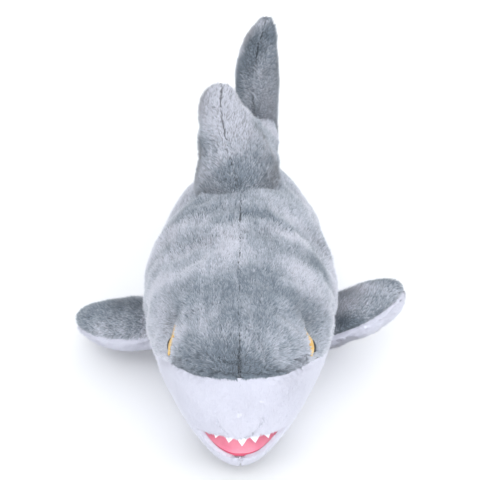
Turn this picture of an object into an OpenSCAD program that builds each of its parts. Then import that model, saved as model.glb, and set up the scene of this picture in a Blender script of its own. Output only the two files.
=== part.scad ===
// Plush shark, lying on its belly. Lengths are in millimetres.
// The nose points along -Y, the back is up (+Z), and the belly rests on z = 0.

/* [Body] */
// Thickness of the plush cloth with its pile
cloth = 1.6; // [1.2:0.1:2]
// Space between cloth and stuffing
slack = 0.4; // [0.3:0.1:0.6]
// Width of the gap between two sewn panels
seam_gap = 0.9; // [0.6:0.1:1.4]

/* [Face] */
// Height of the mouth opening at the front
mouth_gape = 18.5; // [16:0.5:20]
// Number of felt teeth on the upper lip
tooth_count = 5; // [3:2:7]
// Height of the middle tooth
tooth_height = 5; // [4:0.5:5]
// Length of each embroidered eye
eye_length = 18; // [14:1:21]

/* [Fins] */
// Height of the dorsal fin above the back
dorsal_height = 50; // [46:1:60]
// Height of the small second dorsal fin
second_dorsal_height = 17; // [15:1:25]
// Reach of each pectoral fin from its root
pectoral_reach = 54; // [48:1:60]
// How much the right pectoral fin is raised, in degrees
right_pectoral_lift = 22; // [10:1:24]
// How much the left pectoral fin is raised, in degrees
left_pectoral_lift = -6; // [-6:1:4]
// How far the dorsal fin leans to the left, in degrees
dorsal_lean = 9; // [0:1:12]

/* [Joints] */
// Half range of the tail's sideways bend, in degrees
tail_swing = 25; // [15:1:25]
// Half range of the dorsal fin's lean, in degrees
fin_swing = 25; // [15:1:25]

/* [Hidden] */

grey = "slategray";
white = "aliceblue";
pink = "lightpink";
filler = "whitesmoke";

// Stations along the body from the nose to the tail stem. Each row holds
// y, half width, top, bottom, height of the widest line, height of the
// grey and white seam, and the centre line's x.
BODY = [
    [-191.0,  2.0,  64.0, 59.0, 61.5, 64.0,  0.0],
    [-190.5, 11.0,  77.0, 46.0, 62.0, 77.0,  0.0],
    [-189.0, 18.0,  86.0, 35.0, 63.5, 86.0,  0.0],
    [-185.5, 25.0,  92.5, 20.5, 65.5, 84.5,  0.0],
    [-180.0, 31.0,  98.5,  9.5, 68.0, 82.0,  0.0],
    [-171.0, 37.5, 104.0,  5.0, 70.0, 79.5,  0.0],
    [-158.0, 44.0, 109.0,  3.0, 70.5, 73.0,  0.0],
    [-140.0, 50.5, 114.0, -1.5, 69.0, 62.0,  0.0],
    [-112.0, 57.0, 118.0, -3.0, 66.0, 54.0,  0.0],
    [ -75.0, 60.0, 120.5, -3.0, 62.0, 49.0,  0.5],
    [ -35.0, 56.0, 119.0, -3.0, 60.0, 46.0,  1.8],
    [   5.0, 45.5, 112.0, -2.0, 57.0, 44.0,  3.0],
    [  36.0, 34.5, 101.0,  1.0, 53.0, 42.5,  4.0],
    [  62.0, 25.5,  89.5,  7.0, 49.0, 42.0,  6.5],
    [  88.0, 19.5,  79.0, 14.0, 47.0, 43.0,  9.5],
    [ 116.0, 15.5,  71.0, 23.0, 46.5, 45.0, 13.0],
    [ 145.0, 12.5,  64.5, 32.0, 48.0, 48.0, 16.5]
];

// Station numbers where the pieces begin and end
nose_end = 0.15;
grey_start = 2.04;
jaw_front = 3;
mouth_back = 6.5;
throat = 6.55;
head_end = 8.5;
tail_joint = 13;
body_back = 12.95;
body_end = 16;

// How much narrower the head is below its widest line, from keel_back forward
// over keel_run
keel = 0.14;
keel_back = -100;
keel_run = 40;
// In front of this place the nose closes in, over nose_run
nose_back = -171;
nose_run = 18;
// No section gets narrower than this, and no seam's angle wider than on such a one
least_half = 0.6;
seam_least_half = 8;

// The mouth is a wedge that closes at the jaw's hinge line
upper_lip_z = 41;
jaw_hinge = [0, -148, 30];
// The upper lip is level for this many stations, and then both lips run to
// these heights above and below the hinge
lip_level = 0.5;
corner_above = 3.2;
corner_below = 1.2;

// Places of the fins' hinge lines
tail_hinge = [6.5, 62, 50];
tail_fin_hinge = [17.5, 151, 48];
dorsal_root = [0, -12, 116.6];
dorsal_pitch = 8;
second_dorsal_root = [9.5, 84, 82.6];
second_dorsal_pitch = 24;
pectoral_root = [59, -68, 27];
// How far the tail fin is turned to the right, in degrees
tail_fin_turn = 15;

// A smooth curve through a column of stations, as a cubic between neighbours
function cubic(a, b, c, d, f) =
    b + f * ((c - a) / 2 + f * ((2 * a - 5 * b + 4 * c - d) / 2
    + f * (3 * b - a - 3 * c + d) / 2));
function station(rows, i) = rows[max(0, min(len(rows) - 1, i))];
function glide(rows, col, s) =
    let (i = min(floor(s), len(rows) - 2), f = s - i)
    cubic(station(rows, i - 1)[col], station(rows, i)[col],
          station(rows, i + 1)[col], station(rows, i + 2)[col], f);

function blend(a, b, f) = a + (b - a) * f;
function limit(x, low, high) = max(low, min(high, x));

// One point of the body: s is the station, turn is the angle round the
// section (-90 belly, 0 right flank, 90 spine), and d is the depth below
// the pile. The belly is pressed flat where it rests.
function body_y(s) = glide(BODY, 0, s);
function body_point(s, turn, d) =
    let (
        wide = glide(BODY, 4, s),
        low = max(0, -sin(turn)),
        slim = 1 - keel * low * low * limit((keel_back - body_y(s)) / keel_run, 0, 1),
        half = max(least_half, glide(BODY, 1, s) - d) * slim,
        rise = max(least_half, glide(BODY, 2, s) - wide - d),
        fall = max(least_half, wide - glide(BODY, 3, s) - d),
        front = limit((nose_back - body_y(s)) / nose_run, 0, 1)
    )
    [
        glide(BODY, 6, s) + half * cos(turn),
        body_y(s) + d * front,
        max(d, wide + (sin(turn) > 0 ? rise : fall) * sin(turn))
    ];

// Angle on the body's section at which its surface reaches height z
function turn_at(s, z, d = 0) =
    let (
        wide = glide(BODY, 4, s),
        rise = glide(BODY, 2, s) - wide - d,
        fall = wide - glide(BODY, 3, s) - d
    )
    asin(limit((z - wide) / (z > wide ? rise : fall), -1, 1));
function seam_turn(s) = turn_at(s, glide(BODY, 5, s));
// Half of a seam's gap, as an angle on the section
function gap_turn(s) = seam_gap / 2 / max(seam_least_half, glide(BODY, 1, s)) * 180 / PI;

// Height of the head's lower edge and of the jaw's upper edge at a station
function upper_lip(s) =
    blend(upper_lip_z, jaw_hinge[2] + corner_above,
          limit((s - jaw_front - lip_level) / (mouth_back - jaw_front - lip_level), 0, 1));
function lower_lip(s) =
    blend(upper_lip_z - mouth_gape, jaw_hinge[2] - corner_below,
          limit((s - jaw_front) / (mouth_back - jaw_front), 0, 1));

// A sheet between an outer and an inner grid of points, closed at its rims
module sheet(outer, inner) {
    rows = len(outer);
    cols = len(outer[0]);
    many = rows * cols;
    points = concat([for (r = outer) each r], [for (r = inner) each r]);
    function at(r, c, side) = side * many + r * cols + c;
    quads = [for (r = [0 : rows - 2], c = [0 : cols - 2]) each [
        [at(r, c, 0), at(r, c + 1, 0), at(r + 1, c + 1, 0)],
        [at(r, c, 0), at(r + 1, c + 1, 0), at(r + 1, c, 0)],
        [at(r, c, 1), at(r + 1, c + 1, 1), at(r, c + 1, 1)],
        [at(r, c, 1), at(r + 1, c, 1), at(r + 1, c + 1, 1)]]];
    sides = [for (r = [0 : rows - 2], e = [0, 1]) let (c = e * (cols - 1))
        each e == 0
            ? [[at(r, c, 0), at(r + 1, c, 0), at(r, c, 1)],
               [at(r + 1, c, 0), at(r + 1, c, 1), at(r, c, 1)]]
            : [[at(r, c, 0), at(r, c, 1), at(r + 1, c, 0)],
               [at(r + 1, c, 0), at(r, c, 1), at(r + 1, c, 1)]]];
    ends = [for (c = [0 : cols - 2], e = [0, 1]) let (r = e * (rows - 1))
        each e == 1
            ? [[at(r, c, 0), at(r, c + 1, 0), at(r, c, 1)],
               [at(r, c + 1, 0), at(r, c + 1, 1), at(r, c, 1)]]
            : [[at(r, c, 0), at(r, c, 1), at(r, c + 1, 0)],
               [at(r, c + 1, 0), at(r, c, 1), at(r, c + 1, 1)]]];
    polyhedron(points, concat(quads, sides, ends));
}

// A solid through a stack of closed loops with as many points each. The end
// faces are fans from the middle of the first and the last loop.
module loft(loops) {
    rows = len(loops);
    cols = len(loops[0]);
    function mid(loop) = [for (k = [0 : 2]) let (v = [for (p = loop) p[k]])
        (max(v) + min(v)) / 2];
    points = concat([for (l = loops) each l], [mid(loops[0]), mid(loops[rows - 1])]);
    function at(r, c) = r * cols + (c % cols);
    walls = [for (r = [0 : rows - 2], c = [0 : cols - 1]) each [
        [at(r, c), at(r + 1, c + 1), at(r, c + 1)],
        [at(r, c), at(r + 1, c), at(r + 1, c + 1)]]];
    first = [for (c = [0 : cols - 1]) [rows * cols, at(0, c), at(0, c + 1)]];
    last = [for (c = [0 : cols - 1])
        [rows * cols + 1, at(rows - 1, c + 1), at(rows - 1, c)]];
    polyhedron(points, concat(walls, first, last));
}

// A cloth panel of the body between two stations and two angle functions
module body_sheet(from, to, low, high, rows, cols, out = 0, deep = cloth) {
    function grid(d) = [for (r = [0 : rows]) let (s = blend(from, to, r / rows))
        [for (c = [0 : cols])
            body_point(s, blend(low(s), high(s), c / cols), d)]];
    sheet(grid(out), grid(deep));
}

// A loop round the body at one station, between the angles low and 180 - low
function body_loop(s, low, count, d) =
    [for (c = [0 : count]) body_point(s, blend(low, 180 - low, c / count), d)];

// ---- stuffing and plush of the body, one rigid piece from nose to tail root

// The stuffing lies this deep below the pile. Its loops start beside the
// middle of the belly, at stuffing_low, and have loop_count sides.
stuffing_deep = cloth + slack;
stuffing_low = -88;
loop_count = 30;
// Below the corners of the mouth the head is open for the jaw
throat_run = 0.4;
function head_low(s) =
    s < mouth_back ? turn_at(s, upper_lip(s), stuffing_deep)
    : blend(turn_at(mouth_back, upper_lip(mouth_back), stuffing_deep), stuffing_low,
            limit((s - mouth_back) / throat_run, 0, 1));

module head_stuffing() {
    steps = 16;
    color(filler) loft([for (r = [0 : steps])
        let (s = blend(nose_end, head_end, r / steps))
        body_loop(s, head_low(s), loop_count, stuffing_deep)]);
}

module body_stuffing() {
    steps = 12;
    bag_gap = 0.02;
    color(filler) loft([for (r = [0 : steps])
        let (s = blend(head_end + bag_gap, body_back, r / steps))
        body_loop(s, stuffing_low, loop_count, stuffing_deep)]);
}

module back_panel_right() {
    color(grey) body_sheet(grey_start, body_back,
        function(s) seam_turn(s) + gap_turn(s),
        function(s) 90 - gap_turn(s), rows = 26, cols = 9);
}
module back_panel_left() {
    color(grey) body_sheet(grey_start, body_back,
        function(s) 90 + gap_turn(s),
        function(s) 180 - seam_turn(s) - gap_turn(s), rows = 26, cols = 9);
}

module belly_panel() {
    color(white) body_sheet(throat, body_back,
        function(s) -180 - seam_turn(s) + gap_turn(s),
        function(s) seam_turn(s) - gap_turn(s), rows = 20, cols = 26);
}

// The white front of the snout, from the lip up to the grey seam
function snout_low(s) = max(-90 + gap_turn(s), turn_at(s, upper_lip(s)));
function snout_top(s) = min(90 - gap_turn(s), seam_turn(s) - gap_turn(s));

snout_end = throat - 0.05;

module snout_panel_right() {
    color(white) body_sheet(nose_end, snout_end, function(s) snout_low(s),
        function(s) snout_top(s), rows = 16, cols = 8);
}
module snout_panel_left() {
    color(white) body_sheet(nose_end, snout_end,
        function(s) 180 - snout_top(s), function(s) 180 - snout_low(s), rows = 16, cols = 8);
}

// The thread of the spine seam lies in the gap between the two back panels: it
// fills this share of the gap, stands thread_out above the pile and is sunk
// by thread_in
module spine_seam() {
    share = 0.8;
    thread_out = 0.3;
    thread_in = 0.7;
    color("dimgray") body_sheet(grey_start + 0.2, body_back - 0.1,
        function(s) 90 - gap_turn(s) * share, function(s) 90 + gap_turn(s) * share,
        rows = 34, cols = 2, out = -thread_out, deep = thread_in);
}

// Hand stitches that closed the belly after stuffing. Their thread lies on
// the inner side of the belly panel, between the cloth and the stuffing.
module closing_stitches() {
    count = 7;
    first_y = -60;
    pitch = 7;
    slant = 50;
    long = 4.5;
    wide = 0.9;
    thread = slack * 0.6;
    color("gainsboro") for (i = [0 : count - 1])
        translate([0, first_y + i * pitch, cloth + slack / 2]) rotate([0, 0, slant])
            cube([long, wide, thread], center = true);
}

// ---- the mouth

// A level sheet of pink cloth at a lip's height. It stops side_room short of
// the stuffing's flanks.
lining_cloth = 1.4;
lining_gap = 0.1;
module lining(from, to, height, low_side, high_side) {
    steps = 10;
    cols = 8;
    side_room = 2;
    function grid(d) = [for (r = [0 : steps])
        let (s = blend(from, to, r / steps),
             z = height(s), turn = turn_at(s, z, stuffing_deep),
             x = body_point(s, turn, stuffing_deep)[0] - side_room)
        [for (c = [0 : cols]) [blend(-x, x, c / cols), body_y(s), z + d]]];
    sheet(grid(low_side), grid(high_side));
}
// The palate begins behind the teeth, which hang from the lip itself
palate_start = 4.2;
module palate_lining() {
    color(pink) lining(palate_start, mouth_back - 0.1, function(s) upper_lip(s),
        -lining_gap - lining_cloth, -lining_gap);
}
module mouth_floor_lining() {
    color(pink) lining(jaw_start + 0.35, jaw_back, function(s) lower_lip(s),
        lining_gap, lining_gap + lining_cloth);
}

// One felt tooth: a flat triangle with its point down
felt = 1.6;
module tooth(width, height) {
    rotate([90, 0, 0]) linear_extrude(felt, center = true)
        polygon([[-width / 2, 0], [width / 2, 0], [0, -height]]);
}
// How far below the lip the cloth of a tooth begins
tooth_drop = 2;
// The row reaches tooth_spread to each side, set back by tooth_inset, and bends
// back by tooth_bow at its ends, which are turned and shorter
tooth_spread = 16;
tooth_inset = 0.5;
tooth_bow = 3.5;
tooth_turn = 30;
tooth_shorter = 0.2;
// Share of the pitch that a tooth is wide
tooth_fill = 0.9;
module teeth() {
    half_count = (tooth_count - 1) / 2;
    width = tooth_spread / half_count * tooth_fill;
    color("white") for (i = [0 : tooth_count - 1])
        let (
            f = (i - half_count) / half_count,
            y = body_y(jaw_front) + tooth_inset + tooth_bow * f * f
        )
        translate([tooth_spread * f, y, upper_lip_z - tooth_drop])
            rotate([0, 0, tooth_turn * f])
                tooth(width, tooth_height * (1 - tooth_shorter * abs(f)));
}

// ---- the eyes: gold thread round a black spot, lying on the grey plush

// Half length of an eye in stations, which lie eye_pitch apart here, its
// height above the floor, and how much it rises per station
eye_pitch = 20;
eye_half = eye_length / 2 / eye_pitch;
eye_z = 83;
eye_slope = 10;
// The thread lies from thread_low to thread_high above the pile
thread_low = 0.15;
thread_high = 0.7;
// The pointed ends are cut off where the patch is this share of its height, squared
blunt = 0.04;
// A patch on the flank with its centre at a station and a reach along the body
module eye_patch(side, s0, half_long, half_high, rows) {
    function turn(s, edge) = turn_at(s, eye_z + eye_slope * (s - s0) + edge *
        half_high * sqrt(max(blunt, 1 - pow((s - s0) / half_long, 2))));
    low = function(s) side > 0 ? turn(s, -1) : 180 - turn(s, 1);
    high = function(s) side > 0 ? turn(s, 1) : 180 - turn(s, -1);
    body_sheet(s0 - half_long, s0 + half_long, low, high, rows, 3, -thread_high, -thread_low);
}
module eye(side) {
    eye_s = 6.28;
    half_high = 5.5;
    color("goldenrod") eye_patch(side, eye_s, eye_half, half_high, rows = 8);
}
// The pupil is stitched over the gold thread, so it lies just outside it
module pupil(side) {
    pupil_s = 6.25;
    half_high = 2.8;
    share = 0.45;
    outside = 0.72;
    above = 0.3;
    color("black") translate([side * outside, 0, above])
        eye_patch(side, pupil_s, eye_half * share, half_high, rows = 6);
}
module eye_left() { eye(-1); }
module eye_right() { eye(1); }
module pupil_left() { pupil(-1); }
module pupil_right() { pupil(1); }

// ---- the lower jaw, which presses up and opens a little

jaw_start = jaw_front + 0.04;
jaw_back = mouth_back - 0.28;
module jaw_stuffing() {
    steps = 8;
    cols = 16;
    chin_room = 0.3;
    color(filler) loft([for (r = [0 : steps])
        let (s = blend(jaw_start + chin_room, jaw_back, r / steps),
             low = turn_at(s, lower_lip(s), stuffing_deep))
        [for (c = [0 : cols])
            body_point(s, blend(low, -180 - low, c / cols), stuffing_deep)]]);
}
module jaw_panel(side) {
    low = function(s) side > 0 ? -90 + gap_turn(s) : 180 - turn_at(s, lower_lip(s));
    high = function(s) side > 0 ? turn_at(s, lower_lip(s)) : 270 - gap_turn(s);
    color(white) body_sheet(jaw_start, jaw_back, low, high, rows = 9, cols = 6);
}
module jaw_panel_left() { jaw_panel(-1); }
module jaw_panel_right() { jaw_panel(1); }

// ---- the tail, which bends sideways at its root

// The front of the tail is cut back on both sides, so that it can swing
tail_relief = 0.5;
tail_relief_run = 1.2;
tail_start = tail_joint + 0.03;
function cut_back(p, s) =
    let (f = limit((tail_joint + tail_relief_run - s) / tail_relief_run, 0, 1))
    [p[0], p[1] + f * tail_relief * abs(p[0] - tail_hinge[0]), p[2]];

module tail_stuffing() {
    steps = 10;
    cols = 24;
    color(filler) loft([for (r = [0 : steps])
        let (s = blend(tail_start, body_end - 0.1, r / steps))
        [for (p = body_loop(s, stuffing_low, cols, stuffing_deep)) cut_back(p, s)]]);
}
module tail_sheet(low, high, cols) {
    steps = 12;
    function grid(d) = [for (r = [0 : steps])
        let (s = blend(tail_start, body_end - 0.05, r / steps))
        [for (c = [0 : cols])
            cut_back(body_point(s, blend(low(s), high(s), c / cols), d), s)]];
    sheet(grid(0), grid(cloth));
}
module tail_panel_right() {
    color(grey) tail_sheet(function(s) seam_turn(s) + gap_turn(s),
        function(s) 90 - gap_turn(s) / 2, 7);
}
module tail_panel_left() {
    color(grey) tail_sheet(function(s) 90 + gap_turn(s) / 2,
        function(s) 180 - seam_turn(s) - gap_turn(s), 7);
}
module tail_under_panel() {
    color(white) tail_sheet(function(s) -180 - seam_turn(s) + gap_turn(s),
        function(s) seam_turn(s) - gap_turn(s), 12);
}

// ---- fins. Each is a pillow between two loops: rows hold the height along
// the fin, the middle of its chord, half the chord, half the thickness and
// the sideways offset. X is the thickness, Y the chord, Z the height.

// The root is cut back on its two faces by relief times the thickness there,
// first the face at -X and then the one at +X, so that the fin can lean.
foot_run = 2.6;
// Least half chord and half thickness at the tip, and how much leaner the
// pillow is towards its seams
least_chord = 0.5;
least_thick = 0.4;
lean_rim = 0.28;
function fin_point(rows, s, turn, d, relief) =
    let (
        z = glide(rows, 0, s),
        half = max(least_chord, glide(rows, 2, s) - d),
        thick = max(least_thick, glide(rows, 3, s) - d),
        x = thick * sin(turn) * (1 - lean_rim + lean_rim * abs(sin(turn))),
        tip = limit(s - len(rows) + 2, 0, 1),
        foot = limit(1 - s / foot_run, 0, 1)
    )
    [
        x + glide(rows, 4, s),
        glide(rows, 1, s) + half * cos(turn),
        z - d * tip + foot * relief[x < 0 ? 0 : 1] * abs(x)
    ];

// The stuffing of a fin lies fin_ease deeper than the body's, and it ends
// this part of a row below the tip, the cloth a little nearer to it
fin_ease = 0.6;
module fin_stuffing(rows, relief, first = 0, steps = 10, cols = 20) {
    short = 0.12;
    color(filler) loft([for (r = [0 : steps])
        let (s = blend(first, len(rows) - 1 - short, r / steps))
        [for (c = [0 : cols - 1])
            fin_point(rows, s, c * 360 / cols, stuffing_deep + fin_ease, relief)]]);
}
// Side 1 is the half at +X, side -1 the half at -X. The gap of each seam is an
// angle on the fin's section.
module fin_panel(rows, side, relief, first = 0, steps = 11, short = 0.04, gap = 2.2) {
    cols = 9;
    function grid(d) = [for (r = [0 : steps])
        let (s = blend(first, len(rows) - 1 - short, r / steps))
        [for (c = [0 : cols])
            fin_point(rows, s, blend(gap, 180 - gap, c / cols) + (side > 0 ? 0 : 180),
                d, relief)]];
    sheet(grid(cloth), grid(0));
}

h_d = dorsal_height;
lean_d = dorsal_height * tan(dorsal_lean);
DORSAL = [
    [h_d * 0.00,  0.0, 37.0, 26.0, -2.0],
    [h_d * 0.14,  3.0, 31.0, 24.0, -2.0 - lean_d * 0.14],
    [h_d * 0.38,  9.0, 25.0, 21.5, -2.0 - lean_d * 0.50],
    [h_d * 0.64, 16.0, 19.0, 17.2, -2.0 - lean_d * 1.04],
    [h_d * 0.86, 22.5, 12.0, 12.0, -2.0 - lean_d * 1.34],
    [h_d * 0.97, 27.0,  6.0,  6.4, -2.0 - lean_d * 1.32],
    [h_d * 1.00, 28.5,  1.5,  1.5, -2.0 - lean_d * 1.28]
];
h_s = second_dorsal_height;
SECOND = [
    [h_s * 0.00, 0.0, 13.0, 7.6, 0.0],
    [h_s * 0.35, 2.5, 10.5, 6.6, 0.2],
    [h_s * 0.70, 6.5,  7.0, 5.2, 0.5],
    [h_s * 0.92, 9.5,  3.5, 3.2, 0.8],
    [h_s * 1.00, 10.5, 1.0, 1.0, 0.8]
];
TAIL_FIN = [
    [-27.0, 24.0,  1.5,  1.5, -2.5],
    [-23.0, 21.0,  7.0,  7.0, -2.6],
    [-11.0, 16.0, 13.5, 12.0, -3.2],
    [  4.0, 15.0, 17.0, 14.5, -5.0],
    [ 24.0, 18.0, 18.5, 15.0, -7.5],
    [ 48.0, 23.5, 16.5, 16.0, -9.0],
    [ 70.0, 30.5, 11.5, 12.8, -8.4],
    [ 82.0, 35.0,  6.5,  7.6, -7.0],
    [ 87.0, 37.5,  1.5,  1.5, -6.4]
];
r_p = pectoral_reach;
PECTORAL = [
    [r_p * 0.00,  2.5, 21.0, 15.5, 0],
    [r_p * 0.20,  3.2, 21.8, 16.5, 0],
    [r_p * 0.45,  5.8, 22.4, 16.5, 0],
    [r_p * 0.70,  9.6, 19.2, 14.5, 0],
    [r_p * 0.90, 13.5, 13.0, 10.5, 0],
    [r_p * 0.98, 15.8,  6.5,  5.5, 0],
    [r_p * 1.00, 16.5,  1.5,  1.5, 0]
];

module dorsal_place() {
    translate(dorsal_root) rotate([-dorsal_pitch, 0, 0]) children();
}
dorsal_relief = [0.52, 0.52];
module dorsal_stuffing() { dorsal_place() fin_stuffing(DORSAL, dorsal_relief); }
module dorsal_panel_left() {
    color(grey) dorsal_place() fin_panel(DORSAL, -1, dorsal_relief);
}
module dorsal_panel_right() {
    color(grey) dorsal_place() fin_panel(DORSAL, 1, dorsal_relief);
}

module second_dorsal_place() {
    translate(second_dorsal_root) rotate([-second_dorsal_pitch, 0, 0]) children();
}
second_relief = [0.42, 0.42];
module second_dorsal_stuffing() {
    second_dorsal_place() fin_stuffing(SECOND, second_relief);
}
module second_dorsal_panel_left() {
    color(grey) second_dorsal_place() fin_panel(SECOND, -1, second_relief);
}
module second_dorsal_panel_right() {
    color(grey) second_dorsal_place() fin_panel(SECOND, 1, second_relief);
}

module tail_fin_place() {
    translate(tail_fin_hinge) rotate([0, 0, -tail_fin_turn]) children();
}
// Both ends of the tail fin are free tips, so it has no root to cut back
tail_fin_relief = [0, 0];
module tail_fin_stuffing() {
    tail_fin_place() fin_stuffing(TAIL_FIN, tail_fin_relief, first = 0.12, steps = 16, cols = 18);
}
module tail_fin_panel(side) {
    color(grey) tail_fin_place() fin_panel(TAIL_FIN, side, tail_fin_relief,
        first = 0.05, steps = 16, short = 0.05, gap = 2.5);
}
module tail_fin_panel_left() { tail_fin_panel(-1); }
module tail_fin_panel_right() { tail_fin_panel(1); }

// A pectoral fin lies along X: its thickness is vertical
pectoral_relief = [1.9, 0.4];
pectoral_start = 0.08;
// How far the front edges of the pectoral fins are raised, in degrees
pectoral_twist = 12;
module pectoral_place(side) {
    mirror([side < 0 ? 1 : 0, 0, 0]) translate(pectoral_root)
        rotate([0, side < 0 ? -left_pectoral_lift : -right_pectoral_lift, 0])
            rotate([0, 90, 0]) rotate([0, 0, -pectoral_twist]) children();
}
module pectoral_stuffing(side) {
    pectoral_place(side) fin_stuffing(PECTORAL, pectoral_relief, pectoral_start);
}
// With the height axis laid along X, the side at -X of the pillow is the top
module pectoral_panel(side, face) {
    color(face > 0 ? grey : white) pectoral_place(side)
        fin_panel(PECTORAL, -face, pectoral_relief, pectoral_start);
}
module pectoral_left_stuffing() { pectoral_stuffing(-1); }
module pectoral_right_stuffing() { pectoral_stuffing(1); }
module pectoral_left_top_panel() { pectoral_panel(-1, 1); }
module pectoral_left_under_panel() { pectoral_panel(-1, -1); }
module pectoral_right_top_panel() { pectoral_panel(1, 1); }
module pectoral_right_under_panel() { pectoral_panel(1, -1); }

head_stuffing();
body_stuffing();
back_panel_left();
back_panel_right();
belly_panel();
snout_panel_left();
snout_panel_right();
spine_seam();
closing_stitches();
palate_lining();
teeth();
eye_left();
eye_right();
pupil_left();
pupil_right();
jaw_stuffing();
jaw_panel_left();
jaw_panel_right();
mouth_floor_lining();
tail_stuffing();
tail_panel_left();
tail_panel_right();
tail_under_panel();
tail_fin_stuffing();
tail_fin_panel_left();
tail_fin_panel_right();
dorsal_stuffing();
dorsal_panel_left();
dorsal_panel_right();
second_dorsal_stuffing();
second_dorsal_panel_left();
second_dorsal_panel_right();
pectoral_left_stuffing();
pectoral_left_top_panel();
pectoral_left_under_panel();
pectoral_right_stuffing();
pectoral_right_top_panel();
pectoral_right_under_panel();
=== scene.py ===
import math

import bpy
import numpy as np
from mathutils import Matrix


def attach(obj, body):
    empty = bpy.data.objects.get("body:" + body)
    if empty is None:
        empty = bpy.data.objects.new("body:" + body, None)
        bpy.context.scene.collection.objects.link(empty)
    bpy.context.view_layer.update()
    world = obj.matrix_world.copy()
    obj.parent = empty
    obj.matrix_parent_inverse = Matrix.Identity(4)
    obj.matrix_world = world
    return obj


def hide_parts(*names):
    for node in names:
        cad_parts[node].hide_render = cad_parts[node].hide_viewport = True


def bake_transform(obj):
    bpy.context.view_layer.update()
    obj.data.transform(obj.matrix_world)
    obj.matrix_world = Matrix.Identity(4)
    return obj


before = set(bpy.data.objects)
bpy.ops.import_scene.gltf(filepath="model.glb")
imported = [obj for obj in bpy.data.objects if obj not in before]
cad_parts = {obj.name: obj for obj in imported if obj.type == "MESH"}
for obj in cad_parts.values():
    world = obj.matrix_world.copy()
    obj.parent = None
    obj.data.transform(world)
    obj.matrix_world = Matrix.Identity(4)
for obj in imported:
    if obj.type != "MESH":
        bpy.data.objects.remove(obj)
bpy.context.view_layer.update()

# ---------------------------------------------------------------- body cloth
# The body is sewn from plush cloth: a left and a right grey back panel, a
# white belly, a white snout and a white chin. Stuffing pushes each panel out
# between its seams. All lengths are in millimetres until a mesh is made.

# Stations from the nose to the tail stem: y, half width, top, bottom, height
# of the widest line, height of the grey and white seam, centre line's x
BODY = np.array([
    [-191.0,  2.0,  64.0, 59.0, 61.5, 64.0,  0.0],
    [-190.5, 11.0,  77.0, 46.0, 62.0, 77.0,  0.0],
    [-189.0, 18.0,  86.0, 35.0, 63.5, 86.0,  0.0],
    [-185.5, 25.0,  92.5, 20.5, 65.5, 84.5,  0.0],
    [-180.0, 31.0,  98.5,  9.5, 68.0, 82.0,  0.0],
    [-171.0, 37.5, 104.0,  5.0, 70.0, 79.5,  0.0],
    [-158.0, 44.0, 109.0,  3.0, 70.5, 73.0,  0.0],
    [-140.0, 50.5, 114.0, -1.5, 69.0, 62.0,  0.0],
    [-112.0, 57.0, 118.0, -3.0, 66.0, 54.0,  0.0],
    [ -75.0, 60.0, 120.5, -3.0, 62.0, 49.0,  0.5],
    [ -35.0, 54.6, 119.0, -3.0, 60.0, 46.0,  1.5],
    [   5.0, 41.8, 112.0, -2.0, 57.0, 44.0,  2.2],
    [  36.0, 31.5, 101.0,  1.0, 53.0, 42.5,  3.4],
    [  62.0, 24.2,  89.5,  7.0, 49.0, 42.0,  6.2],
    [  88.0, 19.5,  79.0, 14.0, 47.0, 43.0,  9.5],
    [ 116.0, 15.5,  71.0, 23.0, 46.5, 45.0, 13.0],
    [ 145.0, 12.5,  64.5, 32.0, 48.0, 48.0, 16.5],
    [ 158.0, 10.0,  61.0, 36.0, 48.5, 48.5, 18.0],
])
keel = 0.14            # how much narrower the head is below its widest line
upper_lip_z = 41.0
lower_lip_z = 19.8
lip_front = 1.40       # station where the upper lip crosses the middle
chin_front = 3.05      # station where the lower lip crosses the middle
mouth_corner = 4.1     # station of the mouth's right corner
lip_arch = 2.2         # how much higher the upper lip is in the middle
eye_middle = (-154.0, 84.0)    # y and z of the middle of each eye
chin_back = 7.0
tail_end = 16.6


def glide(rows, col, s):
    """A column of stations as a smooth curve: the Catmull-Rom cubic through neighbours."""
    i = np.clip(np.floor(s).astype(int), 0, len(rows) - 2)
    f = s - i
    a, b, c, d = (rows[np.clip(i + k, 0, len(rows) - 1), col] for k in (-1, 0, 1, 2))
    return b + f * ((c - a) / 2 + f * ((2 * a - 5 * b + 4 * c - d) / 2
                    + f * (3 * b - a - 3 * c + d) / 2))


def ease(x, low, high):
    """0 below low, 1 above high, and the smooth cubic 3x^2 - 2x^3 between."""
    x = np.clip((x - low) / (high - low), 0, 1)
    return x * x * (3 - 2 * x)


def body_point(s, turn):
    """A point of the body: an upper and a lower half ellipse at station s, turn degrees round
    it from the right flank, narrowed below the widest line at the head, pressed flat at z = 0."""
    s, turn = np.broadcast_arrays(np.asarray(s, float), np.radians(turn))
    wide = glide(BODY, 4, s)
    y = glide(BODY, 0, s)
    low = np.maximum(0, -np.sin(turn))
    slim = 1 - keel * low ** 2 * np.clip((-100 - y) / 40, 0, 1)
    reach = np.where(np.sin(turn) > 0, glide(BODY, 2, s) - wide, wide - glide(BODY, 3, s))
    x = glide(BODY, 6, s) + glide(BODY, 1, s) * slim * np.cos(turn)
    z = wide + reach * np.sin(turn)
    return np.stack([x, y, np.maximum(z, 0.25 * np.maximum(z, 0) ** 0.5)], -1)


def turn_at(s, z):
    """The angle round station s at which the body's surface is at height z."""
    wide = glide(BODY, 4, s)
    reach = np.where(z > wide, glide(BODY, 2, s) - wide, wide - glide(BODY, 3, s))
    return np.degrees(np.arcsin(np.clip((z - wide) / reach, -1, 1)))


def seam_turn(s):
    return turn_at(s, glide(BODY, 5, s))


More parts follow.
